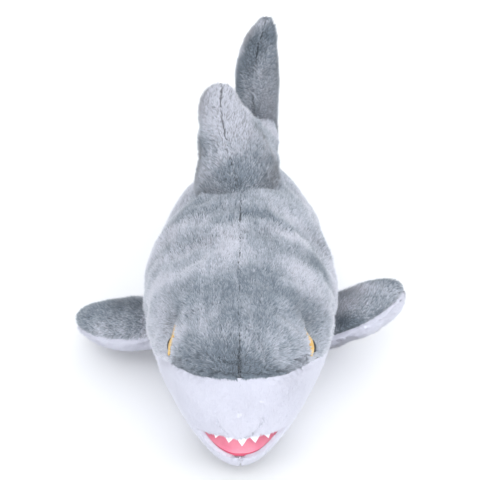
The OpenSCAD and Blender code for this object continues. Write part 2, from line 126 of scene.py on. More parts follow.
def noise(p, size, seed):
    """Smooth noise in -1..1: random values on a lattice of the given size, blended with the
    smooth cubic between the eight corners round each point."""
    q = p / size + 100.37 * seed
    i = np.floor(q).astype(np.int64)
    f = q - i
    f = f * f * (3 - 2 * f)
    total = 0.0
    for corner in range(8):
        step = np.array([corner & 1, corner >> 1 & 1, corner >> 2 & 1])
        k = i + step
        h = (k[..., 0] * 374761393 + k[..., 1] * 668265263 + k[..., 2] * 2147483647
             + seed * 974711) & 0xFFFFFFFF
        h = ((h ^ (h >> 13)) * 1274126177) & 0xFFFFFFFF
        value = ((h ^ (h >> 16)) & 0xFFFF) / 32767.5 - 1
        total = total + value * np.prod(np.where(step, f, 1 - f), axis=-1)
    return total


def unit(vectors):
    """Vectors brought to length 1."""
    return vectors / np.maximum(np.linalg.norm(vectors, axis=-1, keepdims=True), 1e-9)


def normals_of(grid):
    """Outward unit normals of a grid: the cross product of its differences along s and turn."""
    return unit(np.cross(np.gradient(grid, axis=0), np.gradient(grid, axis=1)))


def between(grid, row, col, down, over):
    """A grid's values between its points: linear from each row to the next by the fraction
    down, and from each column to the next by the fraction over."""
    return ((grid[row, col] * (1 - over) + grid[row, col + 1] * over) * (1 - down)
            + (grid[row + 1, col] * (1 - over) + grid[row + 1, col + 1] * over) * down)


def from_edge(grid):
    """How far each point lies from the nearer sewn edge, measured across the cloth."""
    steps = np.linalg.norm(np.diff(grid, axis=1, prepend=grid[:, :1]), axis=-1)
    run = np.cumsum(steps, axis=1)
    return np.minimum(run, run[:, -1:] - run)


def pushed(grid, by):
    """A grid with each point moved along its own normal by so many millimetres."""
    return grid + normals_of(grid) * np.asarray(by)[..., None]


def pucker(across, along, depth, width):
    """How far cloth sinks at a seam: a bell curve of the distance from it, whose depth varies
    along the seam as a sine, where the stitches pull it in."""
    return -depth * (1 + 0.25 * np.sin(along * 1.9)) * np.exp(-(across / width) ** 2)


def lumps(p, seed):
    """The uneven filling under the cloth: a broad and a narrow smooth noise added."""
    return 0.9 * noise(p, 30, seed) + 0.3 * noise(p, 10, seed + 1)


def rolled(t, start, radius):
    """How far an edge is turned in: a quarter circle of the radius, from t = start to t = 1."""
    e = np.clip((t - start) / (1 - start), 0, 1)
    return -radius * (1 - np.sqrt(1 - 0.98 * e * e))


def mesh_of(name, points, faces):
    """A smooth mesh object from points in millimetres and an array of faces."""
    mesh = bpy.data.meshes.new(name)
    count, corners = faces.shape
    mesh.vertices.add(len(points))
    mesh.vertices.foreach_set("co", (points * 0.001).astype(np.float32).ravel())
    mesh.loops.add(count * corners)
    mesh.loops.foreach_set("vertex_index", faces.astype(np.int32).ravel())
    mesh.polygons.add(count)
    mesh.polygons.foreach_set("loop_start", np.arange(0, count * corners, corners, dtype=np.int32))
    mesh.update(calc_edges=True)
    mesh.polygons.foreach_set("use_smooth", np.ones(count, bool))
    obj = bpy.data.objects.new(name, mesh)
    bpy.context.scene.collection.objects.link(obj)
    return obj


def grid_faces(rows, cols, start=0):
    """The quads of a grid of rows by cols points, numbered from start, facing outwards."""
    at = start + np.arange(rows * cols).reshape(rows, cols)
    return np.stack([at[:-1, :-1], at[1:, :-1], at[1:, 1:], at[:-1, 1:]], -1).reshape(-1, 4)


def sheet_faces(rows, cols):
    """The quads of a closed sheet: the outer grid, the inner grid turned over, and strips that
    join the two round the rim."""
    many = rows * cols
    at = np.arange(many).reshape(rows, cols)
    rim = np.concatenate([at[0, :-1], at[:-1, -1], at[-1, :0:-1], at[:0:-1, 0]])
    after = np.roll(rim, -1)
    strip = np.stack([rim, after, after + many, rim + many], -1)
    return np.concatenate([grid_faces(rows, cols), grid_faces(rows, cols, many)[:, ::-1], strip])


def paint(obj, name, values):
    """A number for each vertex, which the materials read by its name."""
    layer = obj.data.attributes.new(name, "FLOAT", "POINT")
    layer.data.foreach_set("value", np.asarray(values, np.float32).ravel())


def brushed(p, seed):
    """How pale brushed pile looks, 0 to 1: arcs across the back, as a hand leaves them, finer
    streaks along it, a painted sheen that makes it paler low on the flanks, paler at the dorsal
    fin's tip, darker on the brow, on one stroke along the right flank and on the pectoral fins."""
    warp = p + 9 * np.stack([noise(p, 40, seed + k) for k in (11, 12, 13)], -1)
    arcs = noise(warp * np.array([0.35, 1.5, 0.35]), 16, seed)
    patches = noise(warp * np.array([1.2, 0.8, 1.0]), 24, seed + 3)
    streaks = noise(p * np.array([2.2, 0.8, 1.6]), 7, seed + 5)
    # Painted sheen: the flanks, which are seen at a glancing angle, are painted paler
    flank = ease(np.abs(p[..., 0]), 26, 52) * (1 - ease(np.abs(p[..., 0]), 60, 68))
    brow = np.exp(-((p[..., 1] + 158) / 22) ** 2 - (p[..., 0] / 34) ** 2)
    stroke = np.exp(-((p[..., 1] + 97) / 26) ** 2 - ((p[..., 0] - 49) / 8) ** 2)
    fin = ease(np.abs(p[..., 0]), 60, 68) * (0.04 + 0.22 * (p[..., 0] < 0))
    crest = (0.75 * ease(p[..., 2], 134, 154) - 0.15) * ease(p[..., 2], 118, 126)
    return np.clip(0.55 + 0.5 * arcs + 0.26 * patches + 0.16 * streaks + 0.3 * flank
                   - 0.25 * brow - 0.75 * stroke - fin + crest * (p[..., 1] < 80), 0, 1)


first_frame, last_frame = 1, 20
start_slack = 1.2      # how far inside its place the cloth starts, as the filling swells it


def stuffed(grid, rows, cols, cap):
    """Cloth pushed out by its filling: a coarse copy of the grid, held along its sewn edges, is
    run through the cloth simulation under pressure, and the way each point moved, at most the
    cap, is laid back on the fine grid by linear interpolation."""
    r = np.linspace(0, grid.shape[0] - 1, rows)
    c = np.linspace(0, grid.shape[1] - 1, cols)
    start = grid[np.round(r).astype(int)][:, np.round(c).astype(int)]
    slack = -normals_of(start) * start_slack
    slack[:, [0, -1]] = 0
    slack[[0, -1]] = 0
    cloth = mesh_of("cloth_run", (start + slack).reshape(-1, 3), grid_faces(rows, cols))
    at = np.arange(rows * cols).reshape(rows, cols)
    held = np.concatenate([at[:, 0], at[:, -1], at[0], at[-1]])
    group = cloth.vertex_groups.new(name="sewn")
    group.add(np.unique(held).tolist(), 1.0, "REPLACE")
    run = cloth.modifiers.new("stuffing", "CLOTH")
    run.settings.vertex_group_mass = "sewn"
    run.settings.use_pressure = True
    run.settings.uniform_pressure_force = 4
    run.settings.effector_weights.gravity = 0
    run.settings.shrink_min = -0.03
    run.settings.tension_stiffness = run.settings.compression_stiffness = 20
    run.settings.bending_stiffness = 0.4
    run.settings.quality = 6
    run.collision_settings.use_collision = False
    run.point_cache.frame_start, run.point_cache.frame_end = first_frame, last_frame
    for frame_number in range(first_frame, last_frame + 1):
        bpy.context.scene.frame_set(frame_number)
    done = cloth.evaluated_get(bpy.context.evaluated_depsgraph_get())
    moved = np.empty(rows * cols * 3, np.float32)
    done.data.vertices.foreach_get("co", moved)
    moved = moved.reshape(rows, cols, 3) * 1000.0 - start
    bpy.data.objects.remove(cloth)
    bpy.context.scene.frame_set(first_frame)
    far = np.linalg.norm(moved, axis=-1, keepdims=True)
    moved = moved * np.minimum(1, cap / np.maximum(far, 1e-6))
    r = np.arange(grid.shape[0]) * (rows - 1) / (grid.shape[0] - 1)
    c = np.arange(grid.shape[1]) * (cols - 1) / (grid.shape[1] - 1)
    i, j = np.minimum(r.astype(int), rows - 2), np.minimum(c.astype(int), cols - 2)
    down, over = (r - i)[:, None, None], (c - j)[None, :, None]
    return grid + between(moved, i[:, None], j, down, over)


seam_shadow = 1.1      # how far from a seam the cloth looks darker


def cloth_panel(name, grid, material, thick=1.2, seed=3):
    """A closed sheet of cloth: the grid is its outer side, a copy sunk by its thickness is the
    inner side, and strips of quads join the two round the rim."""
    inner = grid - normals_of(grid) * thick
    points = np.concatenate([grid, inner]).reshape(-1, 3)
    obj = mesh_of(name, points, sheet_faces(*grid.shape[:2]))
    paint(obj, "shade", brushed(points, seed))
    # The bare cloth is painted like the roots of the tufts, in painted shade, and painted shade
    # darkens it near its sewn edges
    paint(obj, "tip", np.full(len(points), 0.1))
    seam = np.exp(-(from_edge(grid) / seam_shadow) ** 2)
    paint(obj, "seam", np.concatenate([seam, seam]))
    obj.data.materials.append(material)
    return obj


def pile(name, grid, count, material, seed, long=3.0, lean=0.8, comb=(1.0, 0.0), bare=0.9):
    """Tufts of pile standing on a grid: places are drawn evenly by area, and each tuft is a
    closed three-sided spike, combed along the grid's two directions, or in space if comb has
    three numbers, with some disorder. No tuft stands nearer than the bare width to the sewn
    edges, tall where the eyes are stitched, or under the floor."""
    rng = np.random.default_rng(seed)
    along, over = np.gradient(grid, axis=0), np.gradient(grid, axis=1)
    clear = from_edge(grid)[:-1, :-1] > bare
    area = np.linalg.norm(np.cross(along, over), axis=-1)
    area = (area[:-1, :-1] + area[1:, 1:]) * clear
    cell = np.searchsorted(np.cumsum(area.ravel()) / area.sum(), rng.random(count))
    cell = np.minimum(cell, area.size - 1)
    place = (*np.divmod(cell, area.shape[1]), *rng.random((2, count, 1)))
    root, n = between(grid, *place), unit(between(normals_of(grid), *place))
    rear, rise = root[:, 1] - eye_middle[0], root[:, 2] - eye_middle[1]
    on_eye = ((0.86 * rear + 0.5 * rise) / 9.5) ** 2 + ((0.86 * rise - 0.5 * rear) / 6.2) ** 2 < 1
    if len(comb) == 3:
        way = comb - n * (n @ comb)[:, None]
    else:
        way = between(unit(along), *place) * comb[0] + between(unit(over), *place) * comb[1]
    swirl = noise(root, 14, seed + 9)[:, None]
    way = way + np.cross(n, way) * (0.9 * swirl + 0.35 * rng.normal(size=(count, 1)))
    rise = unit(n + way * lean * (0.75 + 0.5 * rng.random((count, 1))))
    reach = long * (0.65 + 0.6 * rng.random((count, 1))) * (1 - 0.93 * on_eye[:, None])
    side = unit(np.cross(rise, n))
    half = 0.34 + 0.2 * rng.random((count, 1))
    foot = root - n * 0.5
    corners = np.stack([foot + side * half, foot - side * half, foot + n * half * 1.3 + way * 0.2,
                        root + rise * reach], 1)
    corners[..., 2] = np.maximum(corners[..., 2], 0.1)
    at = 4 * np.arange(count)[:, None]
    faces = np.concatenate([at + k for k in ([0, 2, 1], [0, 3, 2], [2, 3, 1], [1, 3, 0])])
    obj = mesh_of(name, corners.reshape(-1, 3), faces)
    own = unit(corners - corners.mean(1, keepdims=True))
    mixed = unit(0.75 * n[:, None, :] + 0.35 * own)
    obj.data.normals_split_custom_set_from_vertices(mixed.reshape(-1, 3))
    shade = np.clip(brushed(root, 3) + 0.15 * rng.normal(size=count), 0, 1)
    paint(obj, "shade", np.repeat(shade, 4))
    # Painted shade deep in the pile: each tuft is painted darker at its root than at its tip
    paint(obj, "tip", np.tile([0.0, 0.0, 0.1, 1.0], count))
    obj.data.materials.append(material)
    return obj


def effect_group(name, numbers, results):
    """An effect that several materials use: a node group whose inputs are named numbers and
    whose outputs are named values that change over the surface."""
    group = bpy.data.node_groups.new(name, "ShaderNodeTree")
    for key, value in numbers.items():
        socket = group.interface.new_socket(key, in_out="INPUT", socket_type="NodeSocketFloat")
        socket.default_value = value
    for key in results:
        group.interface.new_socket(key, in_out="OUTPUT", socket_type="NodeSocketFloat")
    return group, group.nodes.new("NodeGroupInput"), group.nodes.new("NodeGroupOutput")


# How brushed pile looks: its tone is the brushed paleness painted on each vertex with a fine
# mottling, and painted shade makes it darker at the roots of the tufts and along the seams
brushed_pile, given, result = effect_group(
    "brushed_pile", {"Root painted shade": 0.5, "Tip light": 1.0, "Seam painted shade": 0.5},
    ("Tone", "Light", "Height"))
nodes, link = brushed_pile.nodes, brushed_pile.links.new
where, fleck = nodes.new("ShaderNodeTexCoord"), nodes.new("ShaderNodeTexNoise")
fleck.inputs["Scale"].default_value = 420
fleck.inputs["Detail"].default_value = 3
link(where.outputs["Object"], fleck.inputs["Vector"])
shade, tip, seam = (nodes.new("ShaderNodeAttribute") for _ in range(3))
shade.attribute_name, tip.attribute_name, seam.attribute_name = "shade", "tip", "seam"
sway, tone, light = (nodes.new("ShaderNodeMath") for _ in range(3))
sway.operation, tone.operation, light.operation = "MULTIPLY_ADD", "ADD", "MULTIPLY"
sway.inputs[1].default_value, sway.inputs[2].default_value = 0.5, -0.25
link(fleck.outputs["Fac"], sway.inputs[0])
link(shade.outputs["Fac"], tone.inputs[0])
link(sway.outputs[0], tone.inputs[1])
root, shut = nodes.new("ShaderNodeMapRange"), nodes.new("ShaderNodeMapRange")
link(tip.outputs["Fac"], root.inputs["Value"])
link(given.outputs["Root painted shade"], root.inputs["To Min"])
link(given.outputs["Tip light"], root.inputs["To Max"])
link(seam.outputs["Fac"], shut.inputs["Value"])
shut.inputs["To Min"].default_value = 1.0
link(given.outputs["Seam painted shade"], shut.inputs["To Max"])
link(root.outputs[0], light.inputs[0])
link(shut.outputs[0], light.inputs[1])
link(tone.outputs[0], result.inputs["Tone"])
link(light.outputs[0], result.inputs["Light"])
link(fleck.outputs["Fac"], result.inputs["Height"])


def plush_material(name, deep, mid, pale, sheen, root_painted_shade, tip_light, seam_painted_shade):
    """Brushed plush: three tones by how the pile lies, with painted shade from the brushed pile
    effect at the roots of the tufts and along the seams, and a pale sheen at the rim."""
    material = bpy.data.materials.new(name)
    material.use_nodes = True
    nodes, link = material.node_tree.nodes, material.node_tree.links.new
    skin = nodes["Principled BSDF"]
    effect = nodes.new("ShaderNodeGroup")
    effect.node_tree = brushed_pile
    effect.inputs["Root painted shade"].default_value = root_painted_shade
    effect.inputs["Tip light"].default_value = tip_light
    effect.inputs["Seam painted shade"].default_value = seam_painted_shade
    ramp = nodes.new("ShaderNodeValToRGB")
    ramp.color_ramp.elements[0].position, ramp.color_ramp.elements[0].color = 0.12, (*deep, 1)
    ramp.color_ramp.elements[1].position, ramp.color_ramp.elements[1].color = 0.9, (*pale, 1)
    ramp.color_ramp.elements.new(0.5).color = (*mid, 1)
    link(effect.outputs["Tone"], ramp.inputs["Fac"])
    dim = nodes.new("ShaderNodeVectorMath")
    dim.operation = "SCALE"
    link(ramp.outputs["Color"], dim.inputs[0])
    link(effect.outputs["Light"], dim.inputs["Scale"])
    link(dim.outputs[0], skin.inputs["Base Color"])
    bump = nodes.new("ShaderNodeBump")
    bump.inputs["Strength"].default_value = 0.3
    bump.inputs["Distance"].default_value = 0.0006
    link(effect.outputs["Height"], bump.inputs["Height"])
    link(bump.outputs[0], skin.inputs["Normal"])
    skin.inputs["Roughness"].default_value = 0.85
    skin.inputs["Specular IOR Level"].default_value = 0.2
    skin.inputs["Sheen Weight"].default_value = sheen
    skin.inputs["Sheen Roughness"].default_value = 0.5
    return material


# After the sheen: how dark painted shade makes the tufts' roots, how light their tips are painted,
# and how dark painted shade makes the seams
grey_plush = plush_material("grey_plush", (0.25, 0.30, 0.36), (0.50, 0.55, 0.63),
                            (0.78, 0.80, 0.90), 0.4, 0.4, 1.12, 0.4)
white_plush = plush_material("white_plush", (0.78, 0.79, 0.905), (0.815, 0.825, 0.935),
                             (0.83, 0.84, 0.95), 0.2, 0.95, 1.0, 0.93)


def angles(low, high, cols):
    """A grid of angles round the body: evenly spaced at each station between low and high."""
    t = np.linspace(0, 1, cols)[None, :]
    return low[:, None] * (1 - t) + high[:, None] * t


spine_dip, spine_width = 1.9, 2.2
seam_dip, seam_width = 0.9, 2.4
right_dent, left_dent = 5.5, 4.4       # how deep the embroidered eyes pull the temples in


def body_skin(s, turn, seed):
    """The body's outer side: its ellipses, the filling's lumps, cheeks behind the eyes, dents
    at the eyes, and seams sunk along the spine and between grey and white."""
    s = np.broadcast_to(s[:, None], turn.shape)
    p = body_point(s, turn)
    girth = np.radians(1) * glide(BODY, 1, s)
    past_spine = (turn - 90) * girth
    side = np.where(turn > 90, 180 - turn, np.where(turn < -90, -180 - turn, turn))
    past_seam = (side - seam_turn(s)) * girth
    cheek = 1.2 * np.exp(-((s - 7.6) / 0.6) ** 2 - ((side - 16) / 22) ** 2)
    dent = np.where(turn > 90, left_dent, right_dent)
    temple = -dent * np.exp(-((s - 6.72) / 0.42) ** 2 - ((side - 24) / 13) ** 2)
    brow = 1.1 * np.exp(-((s - 2.6) / 0.7) ** 2 - ((past_seam - 6) / 6) ** 2)
    rest = ease(p[..., 2], 1, 6) * ease(s, 0.1, 1.2)
    by = (lumps(p, seed) + cheek + temple + brow) * rest
    tight = (0.1 + 0.9 * ease(s, 4, 7)) * ease(s, 0.6, 1.5)
    by = by + pucker(past_spine, p[..., 1], spine_dip, spine_width) * tight
    by = by + pucker(past_seam, p[..., 1], seam_dip, seam_width) * ease(s, 1.7, 3.2)
    return pushed(p, by)


# ------------------------------------------------------------ grey back panels
# Two long panels of grey plush from the brow to the tail stem, sewn together
# along the spine and to the white cloth along the flanks. The pile is brushed
# towards the tail.
brow_seam = 2.04       # station where the grey cloth meets the white snout
back_cols = 78
shoulder_row = 108     # where the pile's front piece ends and its rear piece starts
fringe_rows, fringe_cols = 62, 12
back_s = s = np.linspace(brow_seam, tail_end, 250)
back_grids = {}
for side, name in ((1, "right"), (-1, "left")):
    if side > 0:
        turn = angles(seam_turn(s), np.full_like(s, 90), back_cols)
    else:
        turn = angles(np.full_like(s, 90), 180 - seam_turn(s), back_cols)
    grid = stuffed(body_skin(s, turn, 3), 72, 26, 3.5)
    back_grids[side] = grid
    panel = cloth_panel(f"back_{name}", grid, grey_plush)
    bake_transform(panel)
    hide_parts(f"back_panel_{name}", f"tail_panel_{name}")
    if side > 0:
        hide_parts("head_stuffing", "body_stuffing", "tail_stuffing")
    halves = ((grid[:shoulder_row], 30000), (grid[shoulder_row - 1:], 49900))
    for part, (area, count) in enumerate(halves):
        fur = pile(f"back_{name}_pile_{part + 1}", area, count, grey_plush, 30 + part,
                   comb=(1.0, 0.25 * side), bare=0.1 + 0.6 * part)
        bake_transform(fur)
    edge = grid[:fringe_rows, :fringe_cols] if side > 0 else grid[:fringe_rows, -fringe_cols:]
    fringe = pile(f"brow_{name}_pile", edge, 6000, grey_plush, 36, long=2.6, lean=1.1,
                  comb=(-0.9, -0.2 * side), bare=0.05)
    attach(fringe, "torso")

# ------------------------------------------------------------------ white belly
# One panel of white plush under the body, from the throat to the tail stem,
# pressed flat where the toy lies on it.
s = np.linspace(chin_back, tail_end, 170)
turn = angles(-180 - seam_turn(s), seam_turn(s), 120)
grid = stuffed(body_skin(s, turn, 3), 60, 40, 1.4)
grid[..., 2] = np.maximum(grid[..., 2], 0.05)
panel = cloth_panel("belly", grid, white_plush)
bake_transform(panel)
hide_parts("belly_panel", "tail_under_panel")
fur = pile("belly_pile", grid, 22000, white_plush, 40, long=2.6)
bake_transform(fur)

# ------------------------------------------------------------------- snout
# The white front of the head above the mouth: a left and a right panel of
# white plush, sewn down the middle and to the grey brow. The lower edge is
# turned in to make the upper lip.
s = np.concatenate([np.linspace(0.0, 2.2, 60)[:-1], np.linspace(2.2, chin_back, 100)])
rise = lip_arch * np.clip((mouth_corner - s) / (mouth_corner - lip_front), 0, 1)
lip = np.where(s > lip_front, np.maximum(-90, turn_at(s, upper_lip_z + rise)), -90)
top = np.minimum(90, np.where(s < brow_seam, 90, seam_turn(s)))
snout_cols, chin_cols = 84, 60
for side, name in ((1, "right"), (-1, "left")):
    low, high = (lip, top) if side > 0 else (180 - top, 180 - lip)
    grid = body_skin(s, angles(low, high, snout_cols), 3)
    t = np.linspace(0, 1, snout_cols)[None, :]
    t = 1 - t if side > 0 else t
    on_lip = (ease(s, lip_front, lip_front + 0.6) * (s < mouth_corner + 0.1))[:, None]
    grid = pushed(grid, rolled(t, 0.93, 2.2) * on_lip)
    nose = np.broadcast_to([0.0, grid[0, :, 1].mean(), BODY[0, 4]], (1, snout_cols, 3))
    grid = np.concatenate([nose, grid])
    panel = cloth_panel(f"snout_{name}", grid, white_plush)
    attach(panel, "torso")
    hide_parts(f"snout_panel_{name}")
    fur = pile(f"snout_{name}_pile", grid, 17000, white_plush, 50, long=2.2, lean=1.7,
               comb=np.array([0.0, -0.5, -0.85]), bare=0.1)
    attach(fur, "torso")

# -------------------------------------------------------------------- chin
# The lower jaw's left and right panels of white plush, joined under the chin.
# Their upper edge is turned in to make the lower lip. The cloth runs on into the
# cheeks and the throat.
left_nearer = 0.5      # how far in front of the right corner the mouth's left one lies


def lower_lip(open_part):
    """Height of the lower lip, from 0 at the mouth's corner to 1 at the front: it falls as a
    quarter sine to the power of three quarters."""
    return upper_lip_z - (upper_lip_z - lower_lip_z) * np.sin(np.pi / 2 * open_part) ** 0.75


s = np.linspace(chin_front, chin_back, 96)
for side, name in ((1, "right"), (-1, "left")):
    corner = mouth_corner - left_nearer * (side < 0)
    open_part = np.clip((corner - s) / (corner - chin_front), 0, 1)
    lip, under = np.maximum(-89.9, turn_at(s, lower_lip(open_part))), np.full_like(s, -90)
    low, high = (under, lip) if side > 0 else (-180 - lip, under)
    grid = body_skin(s, angles(low, high, chin_cols), 3)
    t = np.linspace(0, 1, chin_cols)[None, :]
    t = t if side > 0 else 1 - t
    grid = pushed(grid, rolled(t, 0.9, 2.4) * (s < mouth_corner)[:, None])
    panel = cloth_panel(f"chin_{name}", grid, white_plush)
    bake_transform(panel)
    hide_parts(f"jaw_panel_{name}")
    if side > 0:
        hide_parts("jaw_stuffing")
    fur = pile(f"chin_{name}_pile", grid, 11000, white_plush, 60, long=2.0, lean=1.7,
               comb=np.array([0.0, -0.4, -0.9]), bare=0.8)
    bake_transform(fur)

# ------------------------------------------------------------------- mouth
# Thin pink cloth lines the mouth: a floor behind the lower lip and a palate
# behind the upper one, sewn to each other deep inside.
woven_cloth, given, result = effect_group("woven_cloth", {"Threads": 900}, ("Cloud", "Grain"))
nodes, link = woven_cloth.nodes, woven_cloth.links.new
where, broad = nodes.new("ShaderNodeTexCoord"), nodes.new("ShaderNodeMath")
broad.operation = "DIVIDE"
broad.inputs[1].default_value = 12
link(given.outputs["Threads"], broad.inputs[0])
cloud, grain = nodes.new("ShaderNodeTexNoise"), nodes.new("ShaderNodeTexNoise")
link(broad.outputs[0], cloud.inputs["Scale"])
link(given.outputs["Threads"], grain.inputs["Scale"])
for texture, key in ((cloud, "Cloud"), (grain, "Grain")):
    link(where.outputs["Object"], texture.inputs["Vector"])
    link(texture.outputs["Fac"], result.inputs[key])


def plain_cloth(name, colour, dark, weave, rough=0.8, sheen=0.2):
    """Thin cloth, felt or thread: two close colours mottled by the woven effect's clouds, with
    a bump from its grain."""
    material = bpy.data.materials.new(name)
    material.use_nodes = True
    nodes, link = material.node_tree.nodes, material.node_tree.links.new
    skin = nodes["Principled BSDF"]
    effect = nodes.new("ShaderNodeGroup")
    effect.node_tree = woven_cloth
    effect.inputs["Threads"].default_value = weave
    mix = nodes.new("ShaderNodeValToRGB")
    mix.color_ramp.elements[0].position, mix.color_ramp.elements[0].color = 0.3, (*dark, 1)
    mix.color_ramp.elements[1].position, mix.color_ramp.elements[1].color = 0.62, (*colour, 1)
    bump = nodes.new("ShaderNodeBump")
    bump.inputs["Strength"].default_value = 0.35
    bump.inputs["Distance"].default_value = 0.0004
    link(effect.outputs["Cloud"], mix.inputs["Fac"])
    link(mix.outputs["Color"], skin.inputs["Base Color"])
    link(effect.outputs["Grain"], bump.inputs["Height"])
    link(bump.outputs[0], skin.inputs["Normal"])
    skin.inputs["Roughness"].default_value = rough
    skin.inputs["Sheen Weight"].default_value = sheen
    return material


pink_cloth = plain_cloth("pink_cloth", (0.93, 0.36, 0.47), (0.80, 0.22, 0.34), 900)
u = np.linspace(-1, 1, 61)[:, None]
v = np.linspace(0, 1, 31)[None, :]
deep_y, deep_z, deep_half = -163.0, 40.5, 24.0     # the seam deep inside, and half its width


def lining(front, sink, vault, up):
    """Pink cloth from a lip to the back of the mouth: straight lines from the lip's curve to
    the deep seam, raised by a half sine along them."""
    corner = mouth_corner - left_nearer * (u < 0)
    edge_s = front + (corner - front) * np.abs(u)
    near = (corner - edge_s) / (corner - front)
    lip_z = upper_lip_z + lip_arch * near if up else lower_lip(near)
    edge = body_point(edge_s, np.maximum(-89.9, turn_at(edge_s, lip_z)))
    edge = edge + np.array([0, 2.3, -0.3])
    edge[..., 0] *= np.sign(u) * 0.97
    deep = np.stack(np.broadcast_arrays(deep_half * u, deep_y + 6 * u * u, deep_z), -1)
    p = edge * (1 - v[..., None]) + deep * v[..., None]
    p[..., 2] += (vault * np.sin(np.pi * v) + sink * np.exp(-(v / 0.08) ** 2)) * (1 - u ** 4)
    return p


grid = lining(chin_front, -0.8, -2.5, False)[::-1]
floor = cloth_panel("mouth_floor", grid, pink_cloth, 1.0)
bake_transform(floor)
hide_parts("mouth_floor_lining")
grid = lining(lip_front, 0.8, 3.5, True)
palate = cloth_panel("palate", grid, pink_cloth, 1.0)
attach(palate, "torso")
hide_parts("palate_lining")

# A thin tube of deeper pink along the lower lip is painted shade, where the lining turns up under
# the lip's edge
lip_shade_cloth = plain_cloth("painted_lip_shade", (0.74, 0.13, 0.22), (0.58, 0.08, 0.16), 900)
lip_line = lining(chin_front, 0.0, -2.5, False)[:, 0] + np.array([0, 0.1, 0.4])
ring = np.linspace(0, 2 * np.pi, 13)[None, :]
shade_radius, upwards = 0.75, np.array([0.0, 0.0, 1.0])
across = np.cross(unit(np.gradient(lip_line, axis=0)), upwards)
tube = lip_line[:, None] + shade_radius * (across[:, None] * np.cos(ring)[..., None]
                                             + upwards * np.sin(ring)[..., None])
tube[[0, -1]] = lip_line[[0, -1], None]
lip_shade_mesh = mesh_of("lip_shade_tube", tube.reshape(-1, 3), grid_faces(*tube.shape[:2]))
lip_shade_mesh.data.materials.append(lip_shade_cloth)
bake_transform(lip_shade_mesh)

# ------------------------------------------------------------------- teeth
# Five triangles of stiff white felt caught in the upper lip's seam, the
# middle one the largest.
felt = plain_cloth("white_felt", (0.93, 0.94, 0.98), (0.80, 0.82, 0.90), 700, 0.95, 0.3)
tooth_drop = (6.6, 6.6, 8.0, 6.6, 6.6)
tooth_half, tip_half, felt_thick = 4.6, 0.25, 1.1
points, faces = [], []
a, b = np.meshgrid(np.linspace(0, 1, 9), np.linspace(-1, 1, 9), indexing="ij")
width = tooth_half * (1 - a) ** 0.9 + tip_half
for i, f in enumerate(np.linspace(-1, 1, len(tooth_drop))):
    drop = tooth_drop[i] * a
    x, y, z = width * b, 0.5 * b * b - 1.8 * a, 42.2 - f * f - drop
    turn = math.radians(30 * f)
    front = np.stack([15 * f + 1.2 + x * math.cos(turn) - y * math.sin(turn),
                      -188.3 + 6.2 * f * f + x * math.sin(turn) + y * math.cos(turn), z], -1)
    back = front + np.array([-math.sin(turn), math.cos(turn), 0]) * felt_thick
    faces.append(sheet_faces(*a.shape) + 2 * a.size * i)
    points.append(np.concatenate([front, back]).reshape(-1, 3))
teeth = mesh_of("felt_teeth", np.concatenate(points), np.concatenate(faces)[:, ::-1])
teeth.data.materials.append(felt)
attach(teeth, "torso")
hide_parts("teeth")

# -------------------------------------------------------------------- eyes
# Almond eyes embroidered in gold thread, with a spot of black thread. The
# satin stitch stands a little proud of the plush.
gold = plain_cloth("gold_thread", (0.88, 0.60, 0.18), (0.62, 0.36, 0.08), 1500, 0.45, 0.1)
black = plain_cloth("black_thread", (0.03, 0.03, 0.035), (0.01, 0.01, 0.012), 1500, 0.4, 0.1)


def eye_patch(side, at, half_long, height, half_high, lift):
    """An almond on the flank: rows of stitches whose length follows a half sine along the
    eye, domed by the filling under them, with a ripple for every thread."""
    a = np.linspace(-1, 1, 45)[:, None]
    b = np.linspace(-1, 1, 25)[None, :]
    station = at + half_long * a + 0 * b
    z = height + 10 * half_long * a + half_high * (np.cos(1.5 * a) + 0.02) ** 0.7 * b * 0.98
    low = seam_turn(station)
    row = (station - back_s[0]) / (back_s[-1] - back_s[0]) * (len(back_s) - 1)
    col = (turn_at(station, z) - low) / (90 - low) * (back_cols - 1)
    i, j = row.astype(int), col.astype(int)
    back = back_grids[side] if side > 0 else back_grids[side][:, ::-1] * np.array([-1, 1, 1])
    p = between(back, i, j, (row - i)[..., None], (col - j)[..., None])
    dome = lift * np.sqrt(np.clip(1 - a * a, 0, 1)) * np.sqrt(np.clip(1.02 - b * b, 0, 1))
    p = pushed(p, 0.7 + dome + 0.07 * np.sin(60 * a))
    if side < 0:
        p = p[:, ::-1] * np.array([-1, 1, 1])
    return p


for side, name in ((1, "right"), (-1, "left")):
    at = 6.32 if side < 0 else 6.2
    eye = cloth_panel(f"eye_{name}_gold", eye_patch(side, at, 0.5, 84.5, 5.5, 0.7), gold, 1.6)
    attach(eye, "torso")
    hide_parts(f"eye_{name}")
    spot = cloth_panel(f"pupil_{name}_black", eye_patch(side, at, 0.2, 82, 2.4, 1.3), black, 1.0)
    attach(spot, "torso")
    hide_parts(f"pupil_{name}")

# -------------------------------------------------------------------- fins
# Each fin is a flat pillow of two plush panels sewn round its edge, stuffed,
# and sewn by its open root to the body. Rows run from inside the root to the
# tip: height, middle of the chord, half chord, half thickness, sideways shift.
def fin_grid(rows, low, high, steps, cols, seed):
    """One face of a fin: at each height a lens, half chord by cosine and half thickness by
    sine of an angle that runs over the face, with the edge seam sunk and the filling's lumps."""
    s = np.linspace(0, len(rows) - 1.02, steps)[:, None]
    turn = np.linspace(low, high, cols)[None, :]
    s, turn = np.broadcast_arrays(s, turn)
    a = np.radians(turn)
    half = glide(rows, 3, s) * np.sin(a) * (0.72 + 0.28 * np.abs(np.sin(a)))
    p = np.stack([half + glide(rows, 4, s),
                  glide(rows, 1, s) + np.maximum(0.3, glide(rows, 2, s)) * np.cos(a),
                  glide(rows, 0, s)], -1)
    edge = np.minimum(turn - low, high - turn) * np.radians(1) * glide(rows, 2, s)
    return pushed(p, 0.8 * lumps(p, seed) + pucker(edge, p[..., 2], 1.8, 2.4))


